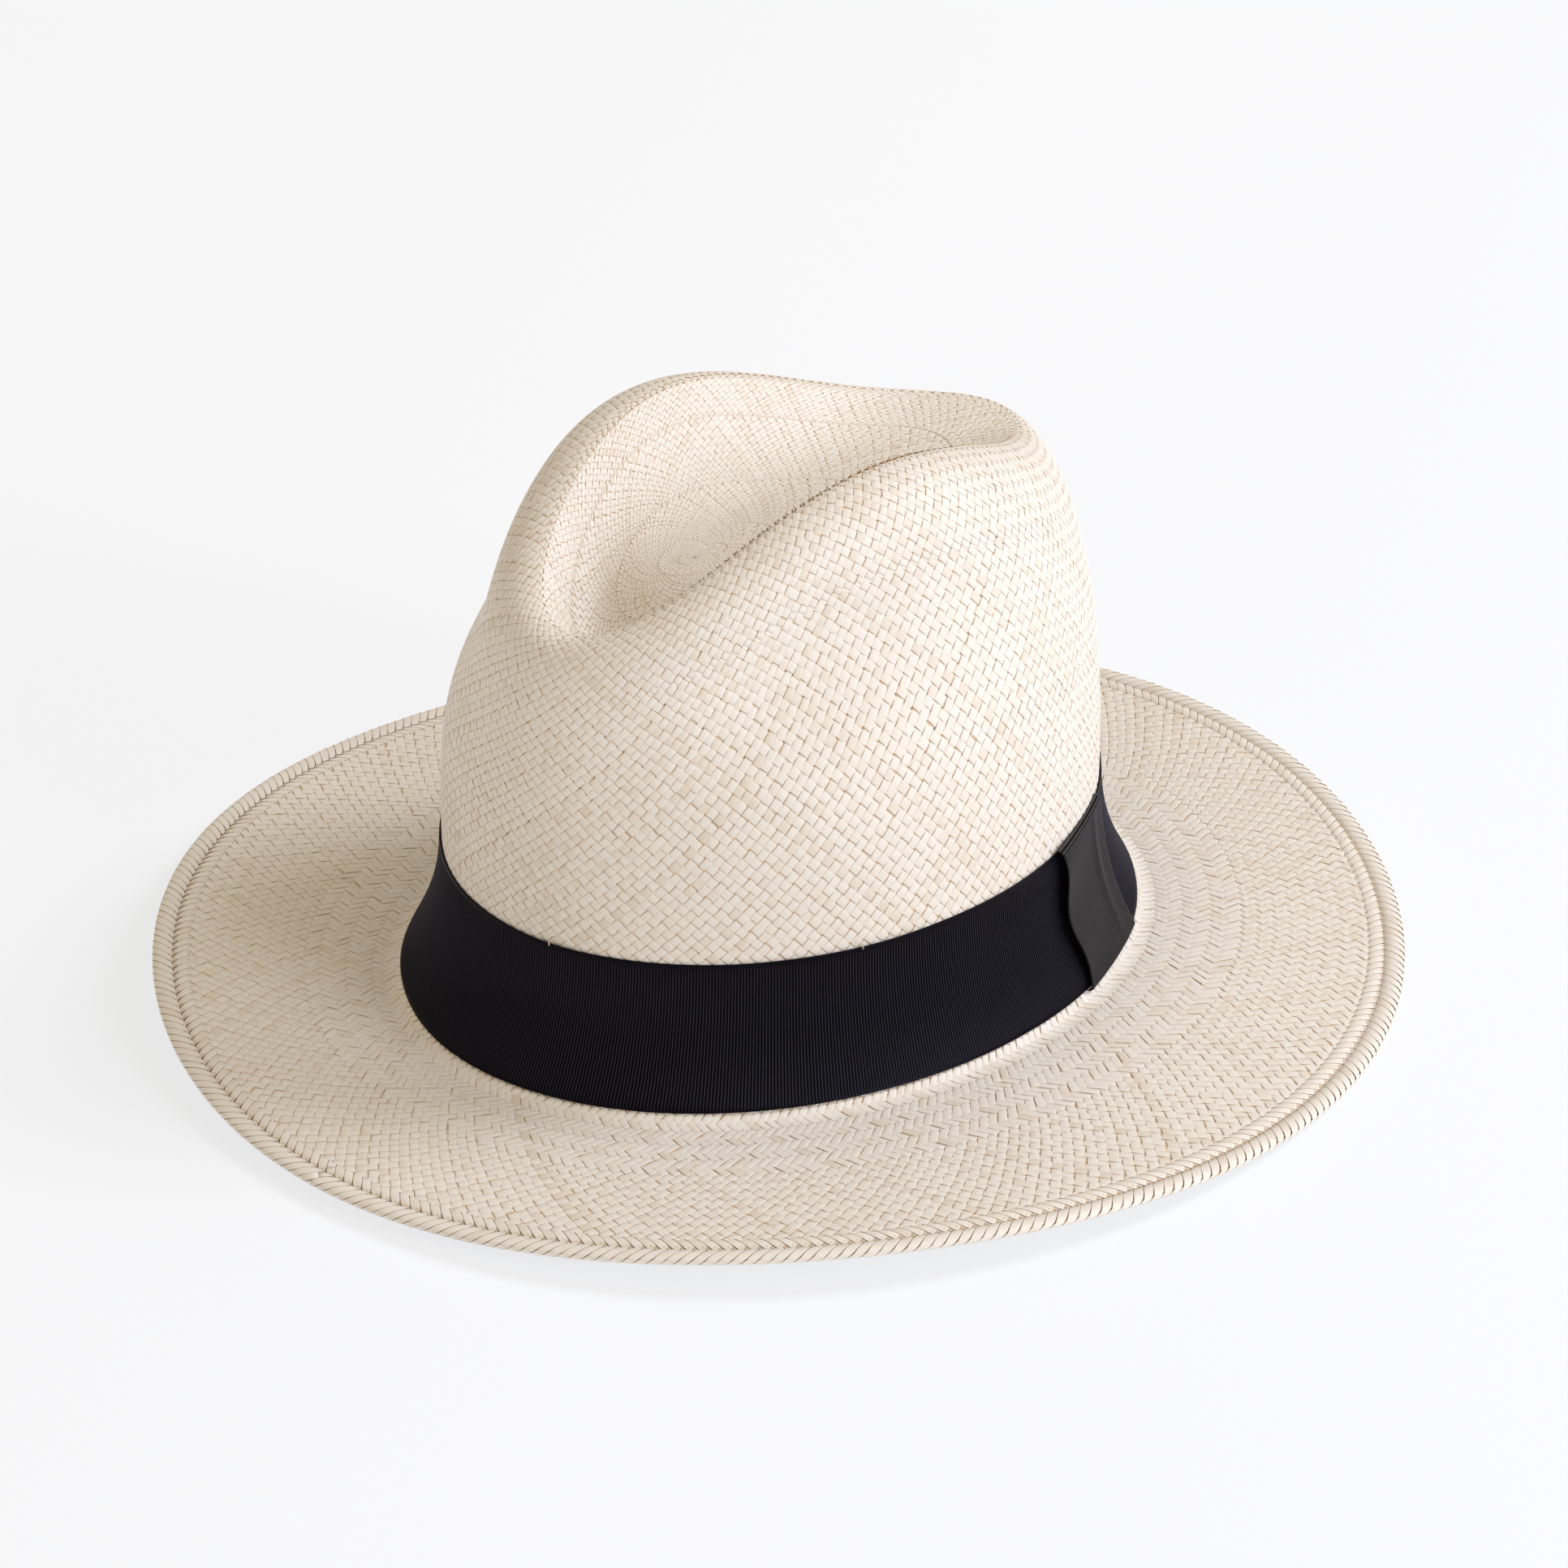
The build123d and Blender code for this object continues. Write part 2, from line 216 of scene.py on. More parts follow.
class Rings:
    """The surface again, by true distance: rows are even along the hat, and turns even round it."""

    V_STEP = 0.003
    TURN_STEP = 0.0008
    CREST_STEP = 0.022
    CREST_SPREAD = 0.04

    def __init__(self, surface, v_low, v_high, count=240, around=720):
        self.surface = surface
        self.v = np.linspace(v_low, v_high, count)
        angles = np.linspace(0, 2 * np.pi, around + 1)
        grid = surface(self.v[:, None], angles[None])
        steps = np.linalg.norm(np.diff(grid, axis=1), axis=2)
        length = np.concatenate([np.zeros((count, 1)), np.cumsum(steps, axis=1)], axis=1)
        self.length = length[:, -1]
        self.turns = np.linspace(0, 1, around + 1)
        self.angle = np.array([np.interp(self.turns * l[-1], l, angles) for l in length])
        along = np.linalg.norm(np.diff(grid, axis=0), axis=2).mean(1)
        self.distance = np.concatenate([[0], np.cumsum(along)])

    def rows(self, strands, slope):
        """The row number at each of self.v.  A slope of 1 makes the strands cross at right angles."""
        per_metre = 2 * slope(self.v) * strands / self.length
        middle = (per_metre[1:] + per_metre[:-1]) / 2
        return np.concatenate([[0], np.cumsum(middle * np.diff(self.distance))])

    def point(self, v, turn):
        """The surface point at v and this many turns from the front."""
        turn = turn % 1.0
        i = np.clip(np.searchsorted(self.v, v) - 1, 0, len(self.v) - 2)
        f = np.clip((v - self.v[i]) / (self.v[i + 1] - self.v[i]), 0, 1)
        j = np.clip((turn * (len(self.turns) - 1)).astype(int), 0, len(self.turns) - 2)
        g = turn * (len(self.turns) - 1) - j
        t = self.angle
        low = t[i, j] * (1 - g) + t[i, j + 1] * g
        high = t[i + 1, j] * (1 - g) + t[i + 1, j + 1] * g
        return self.surface(v, low * (1 - f) + high * f)

    def frame(self, v, turn):
        """The point there, and the unit directions along, around and out of the surface.

        The steps along the surface are longer at the crest (v = 1), which rounds its crease.
        """
        around = unit(self.point(v, turn + self.TURN_STEP) - self.point(v, turn - self.TURN_STEP))
        step = self.V_STEP + self.CREST_STEP * np.exp(-(((v - 1) / self.CREST_SPREAD) ** 2))
        low = self.point(np.maximum(v - step, self.v[0]), turn)
        high = self.point(np.minimum(v + step, self.v[-1]), turn)
        along = unit(high - low)
        return (low + high) / 2, along, around, unit(np.cross(along, around))


# ---------------------------------------------------------------- meshes


def mesh_piece(name, vertices, faces, material, node, attributes=None):
    """A piece that rides on the hat in place of a CAD node."""
    mesh = bpy.data.meshes.new(name)
    mesh.vertices.add(len(vertices))
    mesh.vertices.foreach_set("co", np.asarray(vertices, np.float32).ravel())
    faces = np.asarray(faces, np.int32)
    mesh.loops.add(faces.size)
    mesh.loops.foreach_set("vertex_index", faces.ravel())
    mesh.polygons.add(len(faces))
    mesh.polygons.foreach_set("loop_start", np.arange(0, faces.size, faces.shape[1], dtype=np.int32))
    mesh.polygons.foreach_set("use_smooth", np.ones(len(faces), dtype=bool))
    for key, values in (attributes or {}).items():
        layer = mesh.attributes.new(key, "FLOAT", "POINT")
        layer.data.foreach_set("value", np.asarray(values, np.float32).ravel())
    mesh.update(calc_edges=True)
    mesh.validate()
    mesh.materials.append(material)
    piece = bpy.data.objects.new(name, mesh)
    bpy.context.scene.collection.objects.link(piece)
    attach(piece, "root")
    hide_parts(node)
    return piece


def grid_faces(rows, columns, wrap_rows, wrap_columns):
    """Four-sided faces over a grid of points, joined up where it wraps."""
    index = np.arange(rows * columns).reshape(rows, columns)
    if wrap_rows:
        index = np.concatenate([index, index[:1]])
    if wrap_columns:
        index = np.concatenate([index, index[:, :1]], axis=1)
    quads = [index[:-1, :-1], index[1:, :-1], index[1:, 1:], index[:-1, 1:]]
    return np.stack(quads, -1).reshape(-1, 4)


def closed_strip(outer, inner, open_ends):
    """A thin closed sheet between two grids of points (row, column): a ring, or a flap with ends."""
    rows = np.concatenate([outer, inner[::-1]])
    faces = grid_faces(*rows.shape[:2], True, not open_ends)
    if open_ends:
        count, columns = rows.shape[:2]
        index = np.arange(count * columns).reshape(count, columns)
        half = count // 2
        for column, flip in ((0, True), (columns - 1, False)):
            line = index[:, column]
            near, far = line[:half], line[half:][::-1]
            cap = np.stack([near[:-1], near[1:], far[1:], far[:-1]], -1)
            faces = np.concatenate([faces, cap[:, ::-1] if flip else cap])
    return rows.reshape(-1, 3), faces


# A strand's cross-section, as shares of its width and its thickness: a flat tape with soft edges.
TAPE = np.array([(-0.5, 0.0), (-0.38, 0.5), (0.38, 0.5), (0.5, 0.0), (0.38, -0.5), (-0.38, -0.5)])
STRAND_THICKNESS = 0.16 * MM


def tapes(middle, normal, across, width):
    """Closed tapes along rows of points.  middle, normal and across are (strand, point, 3)."""
    w = TAPE[:, 0][None, None, :, None] * width[..., None, None]
    h = TAPE[:, 1][None, None, :, None] * STRAND_THICKNESS
    ring = middle[:, :, None] + across[:, :, None] * w + normal[:, :, None] * h
    strands, points, sides = ring.shape[:3]
    index = np.arange(strands * points * sides).reshape(strands, points, sides)
    nxt = np.roll(index, -1, axis=2)
    quads = np.stack([index[:, :-1], index[:, 1:], nxt[:, 1:], nxt[:, :-1]], -1).reshape(-1, 4)
    caps = []
    for end, flip in ((index[:, 0], False), (index[:, -1], True)):
        for a, b, c, d in ((0, 1, 2, 3), (0, 3, 4, 5)):
            cap = np.stack([end[:, a], end[:, b], end[:, c], end[:, d]], -1)
            caps.append(cap[:, ::-1] if flip else cap)
    return ring.reshape(-1, 3), np.concatenate([quads] + caps)


def strand_piece(name, middle, normal, across, wide, upper, rng):
    """Strands of straw.  upper is 1 where a strand lies on the hat's outside, and 0 where it dives."""
    vertices, faces = tapes(middle, normal, across, wide)
    shape = wide.shape + (len(TAPE),)
    number = np.arange(len(wide))[:, None, None]
    travelled = np.cumsum(np.linalg.norm(np.gradient(middle, axis=1), axis=2), axis=1)
    # Painted shade: 1 on the face of a tape that shows, 0 at its edges and on the face hidden where it
    # dives under the other family; the straw material paints tan shade where it is 0.
    out_of_painted_shade = np.where(TAPE[:, 1] > 0, upper[..., None], 1 - upper[..., None])
    attributes = {
        "tone": np.broadcast_to(rng.beta(1.6, 2.6, (len(wide), 1, 1)), shape),
        "travel": np.broadcast_to(travelled[..., None], shape) + rng.uniform(0, 5, (len(wide), 1, 1)),
        "side": np.broadcast_to(TAPE[:, 0], shape) * wide[..., None] + 0.1 * number,
        "out_of_painted_shade": np.broadcast_to(np.where(TAPE[:, 1] == 0, 0, out_of_painted_shade), shape),
    }
    return mesh_piece(name, vertices, faces, STRAW, "straw_body", attributes)


def plain(row):
    return row % 2 == 0


def herringbone(row):
    return row % 4 < 2


def right_angle(v):
    return np.ones_like(v)


def snug(v):
    return np.full_like(v, 1.01)


# How far a strand rises and dives at a crossing, and how sharply it turns down between two.
CRIMP = 0.09 * MM
DOME = 2.2
# Where each crossing has points, in rows.  Straw hidden under the ribbon has fewer.
CROSSING = (-0.3, 0.0, 0.3)
HIDDEN_CROSSING = (-0.3, 0.3)
# Spreads of a strand's place, its width, and its place at each row, as shares of its pitch.
PLACE_SPREAD = 0.05
WIDTH_SPREAD = 0.035
ROW_SPREAD = 0.018
WIDTH_LIMITS = (0.9, 1.06)


def plait(name, rings, v_low, v_high, strands, family, *, pattern=plain, slope=right_angle,
          width=snug, crossing=CROSSING, seed=0):
    """One family of strands between two rings.  pattern(row) is True where family +1 is on top."""
    rng = np.random.default_rng(seed * 2 + (family > 0))
    wobble = rng.normal(0, PLACE_SPREAD, (strands, 1))
    own_width = rng.normal(1.0, WIDTH_SPREAD, (strands, 1)).clip(*WIDTH_LIMITS)
    row_of_v = rings.rows(strands, slope)
    first, last = np.interp((v_low, v_high), rings.v, row_of_v)
    whole = np.arange(math.ceil(first), math.floor(last) + 1)
    rows = (whole[:, None] + np.array(crossing)).ravel()
    rows = np.concatenate([[first], rows[(rows > first) & (rows < last)], [last]])
    number = np.arange(strands)[:, None]
    turn = number + wobble - family * rows[None] / 2
    uneven = rng.normal(0, ROW_SPREAD, (strands, math.ceil(row_of_v[-1]) + 1))
    turn = (turn + uneven[:, np.round(rows).astype(int)]) / strands
    v = np.interp(rows, row_of_v, rings.v)
    middle, _, around, normal = rings.frame(np.broadcast_to(v, turn.shape), turn)
    across = unit(np.cross(np.gradient(middle, axis=1), normal))
    lean = np.abs((around * across).sum(2))
    pitch = np.interp(v, rings.v, rings.length) / strands
    wide = pitch * lean * width(v) * own_width
    side = family * np.where(pattern(np.round(rows)), 1.0, -1.0)
    domed = side * (1 - DOME * (rows - np.round(rows)) ** 2)
    middle = middle + normal * (CRIMP * domed)[None, :, None]
    upper = np.broadcast_to((1 + side) / 2, turn.shape)
    return strand_piece(name, middle, normal, across, wide, upper, rng)


ROPE_POINTS = 12
ROPE_WIDTH_SPREAD = 0.04
CORE_POINTS = 720
CORE_SIDES = 8


def rope(name, rings, v, *, strands, turns, half_width, half_height, depth, cover, hand, seed):
    """A flattened rope of strands along the ring at v, its middle this deep in the surface."""
    rng = np.random.default_rng(seed)
    turn = np.broadcast_to(np.linspace(0, 1, turns * ROPE_POINTS + 1), (strands, turns * ROPE_POINTS + 1))
    start = np.arange(strands)[:, None] / strands
    phase = 2 * np.pi * (hand * turns * turn + start)
    point, along, around, normal = rings.frame(np.full_like(turn, v), turn)
    swing, lift = np.cos(phase)[..., None], np.sin(phase)[..., None]
    middle = point + along * swing * half_width + normal * (lift * half_height - depth)
    out = unit(along * swing * half_height + normal * lift * half_width)
    across = unit(np.cross(np.gradient(middle, axis=1), out))
    spacing = np.interp(v, rings.v, rings.length) / turns / strands
    lean = np.abs((around * across).sum(2))
    wide = spacing * lean * cover * rng.normal(1, ROPE_WIDTH_SPREAD, (strands, 1))
    return strand_piece(name, middle, out, across, wide, np.ones(turn.shape), rng)


def rope_core(name, rings, v, half_width, half_height, depth):
    """The straw packed inside a rope, which shows between its strands."""
    turn = np.arange(CORE_POINTS) / CORE_POINTS
    side = np.arange(CORE_SIDES) / CORE_SIDES
    turn, side = np.meshgrid(turn, side, indexing="ij")
    point, along, _, normal = rings.frame(np.full_like(turn, v), turn)
    swing = np.cos(2 * np.pi * side)[..., None] * half_width
    lift = np.sin(2 * np.pi * side)[..., None] * half_height
    skin = (point + along * swing + normal * (lift - depth)).reshape(-1, 3)
    zero = np.zeros(len(skin))
    # The core is coloured mostly with the straw's painted tan shade, as it lies deep between the rope's
    # strands.
    looks = {"tone": zero + 0.6, "travel": skin[:, 0] + skin[:, 1], "side": skin[:, 2], "out_of_painted_shade": zero + 0.25}
    faces = grid_faces(CORE_POINTS, CORE_SIDES, True, True)
    mesh_piece(name, skin, faces, STRAW, "straw_body", looks)


# ---------------------------------------------------------------- materials


def principled(name, colour, roughness, specular=0.5):
    material = bpy.data.materials.new(name)
    material.use_nodes = True
    shader = material.node_tree.nodes["Principled BSDF"]
    shader.inputs["Base Color"].default_value = (*colour, 1)
    shader.inputs["Roughness"].default_value = roughness
    shader.inputs["Specular IOR Level"].default_value = specular
    return material, material.node_tree, shader


def attribute(tree, name):
    node = tree.nodes.new("ShaderNodeAttribute")
    node.attribute_name = name
    return node.outputs["Fac"]


def ramp(tree, value, stops):
    """A colour for a value; stops are (position, colour)."""
    node = tree.nodes.new("ShaderNodeValToRGB")
    elements = node.color_ramp.elements
    while len(elements) < len(stops):
        elements.new(0.5)
    for element, (position, colour) in zip(elements, stops):
        element.position = position
        element.color = (*colour, 1)
    tree.links.new(value, node.inputs["Fac"])
    return node.outputs["Color"]


def blend(tree, factor, first, second, mode="MIX"):
    """Two colours mixed; factor is a number or a socket."""
    node = tree.nodes.new("ShaderNodeMix")
    node.data_type = "RGBA"
    node.blend_type = mode
    if isinstance(factor, float):
        node.inputs["Factor"].default_value = factor
    else:
        tree.links.new(factor, node.inputs["Factor"])
    for socket, colour in (("A", first), ("B", second)):
        if isinstance(colour, tuple):
            node.inputs[socket].default_value = (*colour, 1)
        else:
            tree.links.new(colour, node.inputs[socket])
    return node.outputs["Result"]


def noise(tree, place, scale, detail=3.0):
    """Noise between 0 and 1; scale is a number for each axis of place."""
    stretch = tree.nodes.new("ShaderNodeVectorMath")
    stretch.operation = "MULTIPLY"
    stretch.inputs[1].default_value = scale
    tree.links.new(place, stretch.inputs[0])
    node = tree.nodes.new("ShaderNodeTexNoise")
    node.inputs["Scale"].default_value = 1.0
    node.inputs["Detail"].default_value = detail
    tree.links.new(stretch.outputs["Vector"], node.inputs["Vector"])
    return node.outputs["Fac"]


def bump(tree, shader, height, strength, distance):
    node = tree.nodes.new("ShaderNodeBump")
    node.inputs["Strength"].default_value = strength
    node.inputs["Distance"].default_value = distance
    tree.links.new(height, node.inputs["Height"])
    tree.links.new(node.outputs["Normal"], shader.inputs["Normal"])


def object_place(tree):
    return tree.nodes.new("ShaderNodeTexCoord").outputs["Object"]


def straw_material():
    """Cream to light tan, strand by strand, with lengthwise fibres, and painted shade in tan at the
    strands' edges and where they dive under each other.
    """
    material, tree, shader = principled("straw", (0.8, 0.7, 0.55), 0.5, 0.35)
    strand = ramp(tree, attribute(tree, "tone"), (
        (0.0, (0.85, 0.81, 0.76)),
        (0.6, (0.825, 0.775, 0.715)),
        (1.0, (0.76, 0.68, 0.585)),
    ))
    place = tree.nodes.new("ShaderNodeCombineXYZ")
    tree.links.new(attribute(tree, "travel"), place.inputs["X"])
    tree.links.new(attribute(tree, "side"), place.inputs["Y"])
    fibre = noise(tree, place.outputs["Vector"], (260, 5200, 1))
    stain = noise(tree, place.outputs["Vector"], (55, 90, 1), 2.0)
    stained = blend(tree, ramp(tree, stain, ((0.56, (0, 0, 0)), (0.8, (1, 1, 1)))), strand,
                    (0.73, 0.62, 0.49))
    fibred = blend(tree, 1.0, stained, ramp(tree, fibre, ((0.3, (0.93, 0.915, 0.89)), (0.7, (1, 1, 1)))),
                   "MULTIPLY")
    # Painted shade: tan (0.68, 0.50, 0.32) where a strand meets its neighbours or dives under them.
    out_of_painted_shade = ramp(tree, attribute(tree, "out_of_painted_shade"), ((0.08, (0, 0, 0)), (0.6, (1, 1, 1))))
    tree.links.new(blend(tree, out_of_painted_shade, (0.68, 0.50, 0.32), fibred), shader.inputs["Base Color"])
    bump(tree, shader, fibre, 0.25, 0.00008)
    return material


def grosgrain_material(name, groove_painted_shade, crest, gloss, roughness, specular):
    """Ribbed ribbon: painted shade near black in the grooves, with fine thread across the ribs."""
    material, tree, shader = principled(name, crest, roughness, specular)
    thread = noise(tree, object_place(tree), (2600, 2600, 2600), 2.0)
    # Painted shade: the groove colour darkens the ribbon between its ribs, following the crest attribute.
    ribs = ramp(tree, attribute(tree, "crest"), ((0.42, groove_painted_shade), (1.0, crest)))
    worn = ramp(tree, thread, ((0.35, (0.75, 0.75, 0.75)), (0.7, (1.15, 1.15, 1.15))))
    tree.links.new(blend(tree, 1.0, ribs, worn, "MULTIPLY"), shader.inputs["Base Color"])
    shader.inputs["Specular Tint"].default_value = (*gloss, 1)
    shader.inputs["Sheen Weight"].default_value = 0.06
    shader.inputs["Sheen Roughness"].default_value = 0.25
    shader.inputs["Sheen Tint"].default_value = (*gloss, 1)
    bump(tree, shader, thread, 0.4, 0.0001)
    return material


def leather_material():
    material, tree, shader = principled("sweatband_leather", (0.42, 0.28, 0.16), 0.55, 0.4)
    place = object_place(tree)
    mottle = noise(tree, place, (60, 60, 60))
    colour = ramp(tree, mottle, ((0.3, (0.34, 0.21, 0.115)), (0.7, (0.46, 0.31, 0.18))))
    tree.links.new(colour, shader.inputs["Base Color"])
    bump(tree, shader, noise(tree, place, (1500, 1500, 1500), 4.0), 0.5, 0.0002)
    return material


def thread_material(name, dark, light):
    material, tree, shader = principled(name, light, 0.7, 0.2)
    ply = noise(tree, object_place(tree), (1800, 1800, 900))
    tree.links.new(ramp(tree, ply, ((0.35, dark), (0.65, light))), shader.inputs["Base Color"])
    bump(tree, shader, ply, 0.5, 0.0001)
    return material


STRAW = straw_material()
# The first colour of each is painted shade for the grooves, the second the ribbon's own colour on its ribs.
NAVY = grosgrain_material("navy_grosgrain", (0.0002, 0.0002, 0.0004), (0.032, 0.030, 0.048),
                          (0.88, 0.85, 1.0), 0.3, 0.05)
BLACK = grosgrain_material("black_grosgrain", (0.0006, 0.0006, 0.0006), (0.088, 0.085, 0.090),
                           (1.0, 0.98, 1.0), 0.4, 0.06)
LEATHER = leather_material()
THREAD = thread_material("straw_thread", (0.50, 0.38, 0.25), (0.66, 0.54, 0.39))
REED = thread_material("reed", (0.28, 0.18, 0.10), (0.42, 0.29, 0.17))


# ---------------------------------------------------------------- straw

dent_rings = Rings(hat, 0.004, 1.0, count=500)
crown_rings = Rings(hat, 0.78, 3.0, count=440)
brim_rings = Rings(hat, 3.0, 4.0)
BRIM_REACH = (BRIM_HALF_LENGTH + BRIM_HALF_WIDTH - RIBBON_LOW_HALF[0] - RIBBON_LOW_HALF[1]) / 2


def from_edge(distance):
    """The ring this far inside the brim's edge."""
    return 4 - distance / BRIM_REACH


HERRINGBONE_END = 3.40
CROWN_STRANDS = 150
BRIM_STRANDS = 262
WEAVE_END = from_edge(8.5 * MM)


def brim_slope(v):
    """The strands lie nearer the radius than a right angle would have them, most by the crown."""
    return np.interp(v, (HERRINGBONE_END, HERRINGBONE_END + 0.1), (0.74, 0.80))


def brim_width(v):
    """Overlapping by the crown and looser towards the edge."""
    return np.interp(v, (3.0, HERRINGBONE_END, from_edge(12 * MM), WEAVE_END), (1.08, 1.05, 1.0, 0.92))


def crown_width(v):
    """Snug at the crest and a little looser by the ribbon."""
    return np.interp(v, (1.0, 1.6, 2.0), (1.01, 1.0, 0.98))


BRIM_LOOKS = {"slope": brim_slope, "width": brim_width}
ZONES = (
    # name, rings, v from, v to, strands, other choices
    ("weave_start", dent_rings, 0.006, 0.105, 18, {}),
    ("dent_inner", dent_rings, 0.10, 0.235, 44, {}),
    ("dent_middle", dent_rings, 0.23, 0.505, 78, {}),
    ("dent_outer", dent_rings, 0.50, 0.805, 116, {}),
    ("crown_crest", crown_rings, 0.80, 1.40, CROWN_STRANDS, {"width": crown_width, "seed": 20}),
    ("crown_side", crown_rings, 1.40, 1.75, CROWN_STRANDS, {"width": crown_width, "seed": 20}),
    ("crown_low", crown_rings, 1.75, 2.05, CROWN_STRANDS, {"width": crown_width, "seed": 20}),
    ("crown_foot", crown_rings, 2.05, 3.0, CROWN_STRANDS, {"crossing": HIDDEN_CROSSING, "seed": 20}),
    ("brim_herringbone", brim_rings, 3.0, HERRINGBONE_END, BRIM_STRANDS,
     {"pattern": herringbone, "seed": 30, **BRIM_LOOKS}),
    ("brim_weave", brim_rings, HERRINGBONE_END, WEAVE_END, BRIM_STRANDS, {"seed": 30, **BRIM_LOOKS}),
)
for number, (name, rings, v_low, v_high, strands, choices) in enumerate(ZONES):
    for family, letter in ((1, "a"), (-1, "b")):
        plait(f"{name}_{letter}", rings, v_low, v_high, strands, family, **{"seed": number, **choices})

# Twined rows cover the rings where new strands join the weave.
for number, (v, strand_pitch) in enumerate(((0.10, 2.0), (0.232, 2.6), (0.502, 2.8), (0.802, 3.4))):
    length = np.interp(v, dent_rings.v, dent_rings.length)
    rope(f"twined_row_{number}", dent_rings, v, strands=2, turns=int(length / (strand_pitch * MM)),
         half_width=0.32 * MM, half_height=0.14 * MM, depth=-0.04 * MM, cover=1.0, hand=1, seed=50 + number)

# The brim's border: a rolled edge, and a flat braid inside it that leans the other way.
BORDER = {"strands": 4, "turns": 84, "cover": 1.08}
ROLL_PLACE = from_edge(2.7 * MM)
ROLL_DEPTH = 0.9 * MM
BRAID_PLACE = from_edge(7.6 * MM)
BRAID_DEPTH = 0.6 * MM
rope("border_roll", brim_rings, ROLL_PLACE, half_width=2.6 * MM, half_height=1.15 * MM,
     depth=ROLL_DEPTH, hand=1, seed=60, **BORDER)
rope("border_braid", brim_rings, BRAID_PLACE, half_width=2.35 * MM, half_height=0.95 * MM,
     depth=BRAID_DEPTH, hand=-1, seed=61, **BORDER)
rope_core("border_roll_core", brim_rings, ROLL_PLACE, 2.3 * MM, 0.9 * MM, ROLL_DEPTH)
rope_core("border_braid_core", brim_rings, BRAID_PLACE, 2.05 * MM, 0.7 * MM, BRAID_DEPTH)


# ---------------------------------------------------------------- ribbon and seam tab

RIB_SAMPLES = 4
RIBBON_RIBS = 720
RIB_HEIGHT = 0.13 * MM
SELVEDGE = 0.022


def ribbon_piece():
    """The grosgrain ribbon: upright ribs, plain selvedges and a slightly uneven fit."""
    rings = Rings(ribbon_face, 0.0, 1.0, count=60)
    # Rows of points, closest together at the selvedges.
    shares = np.array([0, 0.008, SELVEDGE, 0.04, 0.12, 0.25, 0.4, 0.55, 0.7, 0.82, 0.91, 0.96,
                       1 - SELVEDGE, 0.992, 1.0])
    turn = np.arange(RIBBON_RIBS * RIB_SAMPLES) / (RIBBON_RIBS * RIB_SAMPLES)
    share, turn = np.meshgrid(shares, turn, indexing="ij")
    point, _, _, normal = rings.frame(share, turn)
    ribbed = np.clip(np.minimum(share, 1 - share) / SELVEDGE - 1, 0, 1)
    rib = np.cos(2 * np.pi * RIBBON_RIBS * turn) * ribbed
    uneven = 0.12 * np.sin(14 * np.pi * turn + 1) + 0.08 * np.sin(26 * np.pi * turn + 4 * share)
    out = RIB_HEIGHT * rib + uneven * MM * (2 * share - 1) ** 2
    outer = point + normal * out[..., None]
    inner = point + normal * (out - RIB_HEIGHT * rib - RIBBON_THICKNESS)[..., None]
    vertices, faces = closed_strip(outer, inner, False)
    # crest is 1 on a rib's top and 0 in its groove, where the grosgrain material paints shade.
    crest = np.concatenate([(1 + rib) / 2, np.full_like(rib, 0.5)])
    piece = mesh_piece("ribbon_cloth", vertices, faces, NAVY, "ribbon", {"crest": crest})
    height = np.linalg.norm(np.diff(rings.point(rings.v, np.zeros_like(rings.v)), axis=0), axis=1).sum()


TAB_MIDDLE = math.radians(113)
TAB_HALF = 17.5 * MM
TAB_RIBS = 64
TAB_RIB_HEIGHT = 0.15 * MM
TAB_HALF_THICKNESS = 0.25 * MM
TAB_TUCK = 1.1 * MM
# How far the tab passes the ribbon's top edge, as a share of the ribbon's height.
TAB_OVERHANG = 0.035
TAB_COLUMNS = 44


def seam_tab_piece():
    """The upright piece over the ribbon's joint; its front edge stands proud and waves a little."""
    down = np.linspace(0, 1, TAB_RIBS * RIB_SAMPLES + 1)
    side = np.linspace(-1, 1, TAB_COLUMNS)
    down, side = np.meshgrid(down, side, indexing="ij")
    share = down * (1 + TAB_OVERHANG) - TAB_OVERHANG
    radius = (RIBBON_LOW_HALF[0] + RIBBON_LOW_HALF[1]) / 2
    near = ((1 - side) / 2) ** 2.5
    far = ((1 + side) / 2) ** 3
    sway = 1.1 * np.sin(9 * down + 0.3) * near + 0.5 * np.sin(7 * down) * far
    angle = TAB_MIDDLE + (side * TAB_HALF + sway * MM) / radius
    arch = np.sin(np.pi * down) ** 0.7
    wave = 0.35 * np.sin(11 * down) + 0.25 * np.sin(5 * down + 2)
    ridge = np.exp(-(((side - 0.5) / 0.12) ** 2))
    lift = 0.35 + near * (1.2 + 2.3 * arch + wave) + far * (0.3 + 0.8 * arch) + 0.45 * ridge * arch
    tuck = np.clip((np.abs(down - 0.5) - 0.465) / 0.035, 0, 1) ** 2
    rib = np.cos(2 * np.pi * TAB_RIBS * down)
    out = lift * MM - tuck * TAB_TUCK
    flat_share = np.clip(share, 0, None)
    x, y, _ = ribbon_ring(flat_share, angle)
    _, _, z = ribbon_ring(share, angle)
    point = np.stack([x, y, z], -1)
    normal = unit(np.stack([x / RIBBON_LOW_HALF[0] ** 2, y / RIBBON_LOW_HALF[1] ** 2, 0.0025 + 0 * x], -1))
    outer = point + normal * (out + TAB_RIB_HEIGHT * rib + TAB_HALF_THICKNESS)[..., None]
    inner = point + normal * (out - TAB_HALF_THICKNESS)[..., None]
    vertices, faces = closed_strip(outer, inner, True)
    # crest is 1 on a rib's top and 0 in its groove, where the grosgrain material paints shade.
    crest = np.concatenate([(1 + rib) / 2, np.full_like(rib, 0.5)])
    piece = mesh_piece("seam_tab_cloth", vertices, faces, BLACK, "seam_tab",
                       {"crest": crest})


ribbon_piece()
seam_tab_piece()


